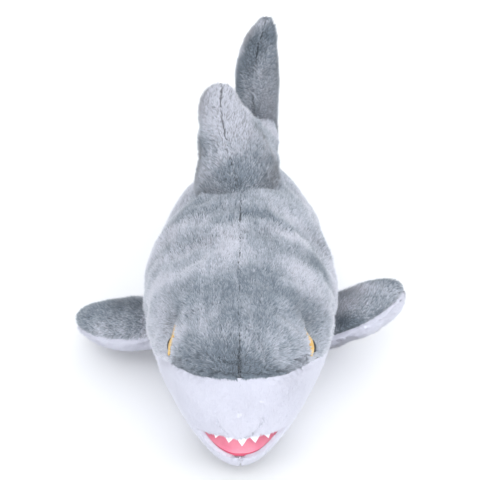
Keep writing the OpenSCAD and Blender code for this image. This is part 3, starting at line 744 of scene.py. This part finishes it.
def turned(p, first, second, degrees):
    """Points turned in the plane of two axes: the first becomes first times cosine less second
    times sine, the second first times sine plus second times cosine."""
    angle = math.radians(degrees)
    q = p.copy()
    q[..., first] = p[..., first] * math.cos(angle) - p[..., second] * math.sin(angle)
    q[..., second] = p[..., first] * math.sin(angle) + p[..., second] * math.cos(angle)
    return q


def placed(grid, root, pitch=0.0, turn=0.0, lift=None, mirror=False, twist=0.0):
    """A fin's own grid set on the body: twisted about its height, pitched about X, turned about
    Z, or laid along X and lifted, then moved to its root."""
    p = turned(grid, 0, 1, twist)
    if lift is not None:
        p = turned(np.stack([p[..., 2], p[..., 1], -p[..., 0]], -1), 0, 2, lift)
    p = turned(turned(p, 1, 2, -pitch), 0, 1, -turn) + np.array(root)
    return p * np.array([-1, 1, 1]) if mirror else p


def outward(grid, middle):
    """The grid turned over if its normals point to the middle of the fin."""
    n = normals_of(grid)
    out = np.sum(n * (grid - middle)) > 0
    return grid if out else grid[:, ::-1]


def fin_piece(name, grid, count, seed, nodes, material, long=3.0):
    """A panel of a fin, filled by the cloth simulation, and its pile."""
    grid = stuffed(grid, 34, 24, 2.5)
    panel = cloth_panel(name, grid, material)
    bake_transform(panel)
    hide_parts(*nodes)
    fur = pile(f"{name}_pile", grid, count, material, seed, long=long, bare=0.6)
    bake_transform(fur)


def upright_fin(name, rows, steps, cols, seed, root, middle, count, pile_seed,
                pitch=0.0, turn=0.0, long=3.0):
    """A fin that stands up: its right and its left panel, each half way round it, of which the
    right one also stands for the filling."""
    for side, half in ((1, "right"), (-1, "left")):
        low = 0 if side > 0 else 180
        grid = fin_grid(rows, low, low + 180, steps, cols, seed)
        grid = outward(placed(grid, root, pitch=pitch, turn=turn), middle)
        nodes = [f"{name}_panel_{half}"] + ([f"{name}_stuffing"] if side > 0 else [])
        fin_piece(f"{name}_{half}", grid, count, pile_seed + side, nodes,
                  grey_plush, long)


def height_line(pitch):
    """The direction of a fin's height when it is pitched back by so many degrees."""
    return np.array([0, math.sin(math.radians(pitch)), math.cos(math.radians(pitch))])


# The tall dorsal fin leans a little to the left
dorsal_pitch = 8
lean = math.tan(math.radians(9))
DORSAL = np.array([
    [-16.0, -3.0, 40.0, 28.5, -2.0],
    [ -6.0, -1.0, 38.5, 27.0, -2.0],
    [  4.0,  1.0, 35.0, 25.0, -2.0 - 4 * lean],
    [ 11.0,  4.5, 31.0, 23.2, -2.0 - 15 * lean],
    [ 20.0,  9.5, 25.5, 20.8, -2.0 - 32 * lean],
    [ 32.0, 16.0, 19.0, 17.4, -2.0 - 54 * lean],
    [ 42.5, 22.0, 12.5, 12.4, -2.0 - 68 * lean],
    [ 48.0, 26.5,  6.5,  6.8, -2.0 - 66 * lean],
    [ 50.0, 28.5,  1.0,  1.0, -2.0 - 64 * lean],
])
root = (0.0, -12.0, 116.6)
up = height_line(dorsal_pitch)
middle = np.array(root) + 20 * up
upright_fin("dorsal", DORSAL, 76, 64, 5, root, middle, 11000, 70,
            pitch=dorsal_pitch)

# The small second dorsal fin stands on the tail
second_pitch = 24
SECOND = np.array([
    [-9.0, -2.0, 15.0, 9.0, 0.0],
    [-2.0,  0.0, 13.5, 8.0, 0.0],
    [ 4.0,  1.5, 12.0, 7.2, 0.2],
    [ 8.6,  4.0,  9.5, 6.3, 0.4],
    [12.6,  7.0,  6.5, 5.2, 0.7],
    [15.9,  9.8,  3.2, 3.2, 0.8],
    [17.0, 10.6,  0.8, 0.8, 0.8],
])
root = (9.5, 84.0, 82.6)
up = height_line(second_pitch)
middle = np.array(root) + 5 * up
upright_fin("second_dorsal", SECOND, 48, 36, 6, root, middle, 2200, 80,
            pitch=second_pitch, long=2.4)

# The tail fin stands upright at the end of the tail, turned a little
TAIL_FIN = np.array([
    [-27.0, 24.0,  1.0,  1.0, -2.5],
    [-25.5, 22.5,  4.5,  4.5, -2.5],
    [-21.0, 19.5,  8.5,  8.5, -2.6],
    [-11.0, 16.0, 13.5, 12.5, -3.2],
    [  4.0, 15.0, 17.5, 15.2, -4.6],
    [ 24.0, 18.0, 19.0, 17.0, -7.0],
    [ 48.0, 23.5, 17.0, 17.0, -9.0],
    [ 68.0, 29.8, 12.2, 13.6, -8.4],
    [ 80.0, 34.2,  7.4,  8.8, -7.0],
    [ 86.0, 37.0,  2.8,  3.6, -6.2],
    [ 87.0, 37.5,  1.0,  1.0, -6.2],
])
root = (17.5, 151.0, 48.0)
middle = np.array([21.0, 165.0, 70.0])
upright_fin("tail_fin", TAIL_FIN, 104, 50, 8, root, middle, 9000, 90, turn=15)

# The pectoral fins: grey above, white below, the right one raised more
PECTORAL = np.array([
    [-14.0,  2.0, 22.0, 15.0, 0.0],
    [ -3.0,  2.5, 22.0, 15.8, 0.0],
    [ 10.8,  3.6, 22.6, 16.8, 0.0],
    [ 24.3,  5.8, 22.4, 16.6, 0.0],
    [ 37.8,  9.6, 19.2, 14.6, 0.0],
    [ 48.6, 13.5, 13.0, 10.6, 0.0],
    [ 53.0, 15.8,  6.5,  5.6, 0.0],
    [ 54.0, 16.5,  1.0,  1.0, 0.0],
])
root = (59.0, -68.0, 27.0)
twist = -12            # each blade is turned a little about its length
for side, name, lift in ((1, "right", 22), (-1, "left", -6)):
    middle = np.array([side * 80.0, -62.0, 27 + 24 * math.sin(math.radians(lift))])
    for face, low in (("top", 180), ("under", 0)):
        grid = placed(fin_grid(PECTORAL, low, low + 180, 70, 56, 11 + side), root, lift=lift,
                      mirror=side < 0, twist=twist)
        grid = outward(grid, middle)
        upper = face == "top"
        nodes = [f"pectoral_{name}_{face}_panel"] + [f"pectoral_{name}_stuffing"] * upper
        fin_piece(f"pectoral_{name}_{face}", grid, 8500, 100 + side + 5 * upper,
                  nodes,
                  grey_plush if upper else white_plush, 2.8)

# ------------------------------------------------------------------ threads
# Short stitches of dark thread along the spine seam, half lost in the pile, paint the shade
# of its crease, and seven pale hand stitches close the belly where the stuffing went in.
def stitches(name, at, along, n, length, thick, material, tilt=0.0):
    """Short round threads: capsules of six-sided rings whose radius follows a half sine."""
    rings, sides = 7, 6
    ring = np.linspace(0, 2 * np.pi, sides, endpoint=False)
    t = np.linspace(-1, 1, rings)
    side = np.cross(along, n)
    way = along * math.cos(tilt) + side * math.sin(tilt)
    cross = np.cross(way, n)
    radius = thick * np.sqrt(np.clip(1.02 - t * t, 0, 1))
    p = (at[:, None, None] + way[:, None, None] * (t * length / 2)[None, :, None, None]
         + (cross[:, None, None] * np.cos(ring)[None, None, :, None]
            + n[:, None, None] * np.sin(ring)[None, None, :, None]) * radius[None, :, None, None])
    k = np.arange(rings * sides).reshape(rings, sides)
    wall = np.stack([k[:-1], np.roll(k, -1, 1)[:-1], np.roll(k, -1, 1)[1:], k[1:]], -1)
    cap = np.array([[0, 1, 2, 3], [0, 3, 4, 5]])
    faces = np.concatenate([wall.reshape(-1, 4), k[0][cap][::-1, [0, 3, 2, 1]], k[-1][cap]])
    faces = (faces[None] + k.size * np.arange(len(at))[:, None, None]).reshape(-1, 4)
    obj = mesh_of(name, p.reshape(-1, 3), faces)
    obj.data.materials.append(material)
    return obj


painted_spine_shade = plain_cloth("painted_spine_shade", (0.10, 0.12, 0.15), (0.05, 0.06, 0.08), 2000, 0.6, 0.1)
pale_thread = plain_cloth("pale_thread", (0.85, 0.86, 0.90), (0.66, 0.68, 0.74), 2000, 0.6, 0.1)
s = np.linspace(3.6, 12.8, 100)
line = body_skin(s, np.tile(np.array([86.0, 90.0, 94.0]), (len(s), 1)), 3)
n = normals_of(line)[:, 1]
along = unit(np.gradient(line[:, 1], axis=0))
sunk = 1.2 * ease(s, 6.8, 8.2) - 0.9
# The dark stitches along the spine are painted shade of the seam's crease
thread = stitches("spine_shade_stitches", line[:, 1] + n * sunk[:, None], along, n, 2.0, 0.42, painted_spine_shade)
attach(thread, "torso")
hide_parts("spine_seam")
closing, spacing, thick = 7, 7.0, 0.35
place = -60.0 + spacing * np.arange(closing)
at = np.stack([np.zeros(closing), place, np.full(closing, thick)], -1)
down, back = np.tile([0.0, 0.0, -1.0], (closing, 1)), np.tile([0.0, 1.0, 0.0], (closing, 1))
thread = stitches("closing_thread", at, back, down, 5.0, thick, pale_thread, 0.8)
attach(thread, "torso")
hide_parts("closing_stitches")

# ------------------------------------------------------- floor, light, camera
# A plain pale floor under soft studio light, seen from in front and above.
floor_mat = bpy.data.materials.new("pale_floor")
floor_mat.use_nodes = True
skin = floor_mat.node_tree.nodes["Principled BSDF"]
skin.inputs["Base Color"].default_value = (0.93, 0.935, 0.94, 1)
skin.inputs["Roughness"].default_value = 0.9
bpy.ops.mesh.primitive_plane_add(size=8, location=(0, 0, -0.0008))
ground = bpy.context.object
ground.name = "ground"
ground.data.materials.append(floor_mat)

world = bpy.data.worlds.new("studio")
world.use_nodes = True
world.node_tree.nodes["Background"].inputs["Color"].default_value = (0.95, 0.97, 1.0, 1)
world.node_tree.nodes["Background"].inputs["Strength"].default_value = 1.05
bpy.context.scene.world = world


def soft_light(name, place, aim, size, power):
    """A square area light of a size in metres and a power in watts, facing a point."""
    data = bpy.data.lights.new(name, "AREA")
    data.size, data.energy = size, power
    light = bpy.data.objects.new(name, data)
    bpy.context.scene.collection.objects.link(light)
    light.location = place
    away = np.array(place) - np.array(aim)
    light.rotation_euler = (math.atan2(math.hypot(away[0], away[1]), away[2]), 0,
                            math.atan2(away[1], away[0]) + math.pi / 2)


soft_light("key", (-0.5, -1.1, 1.4), (0, 0, 0.05), 1.4, 7.5)
soft_light("fill", (0.9, -0.9, 0.9), (0, 0, 0.05), 1.2, 5)
soft_light("front", (0.0, -1.6, 0.35), (0, -0.1, 0.05), 1.0, 3.5)
soft_light("back", (0.5, 1.3, 1.1), (0, 0, 0.05), 1.4, 4)

camera_data = bpy.data.cameras.new("camera")
camera_data.lens, camera_data.sensor_width = 90, 36
camera = bpy.data.objects.new("camera", camera_data)
bpy.context.scene.collection.objects.link(camera)
camera.location = (0, -0.6995, 0.5392)
camera.rotation_euler = (math.radians(90 - 35), 0, 0)
bpy.context.scene.camera = camera
bpy.context.scene.view_settings.view_transform = "Standard"
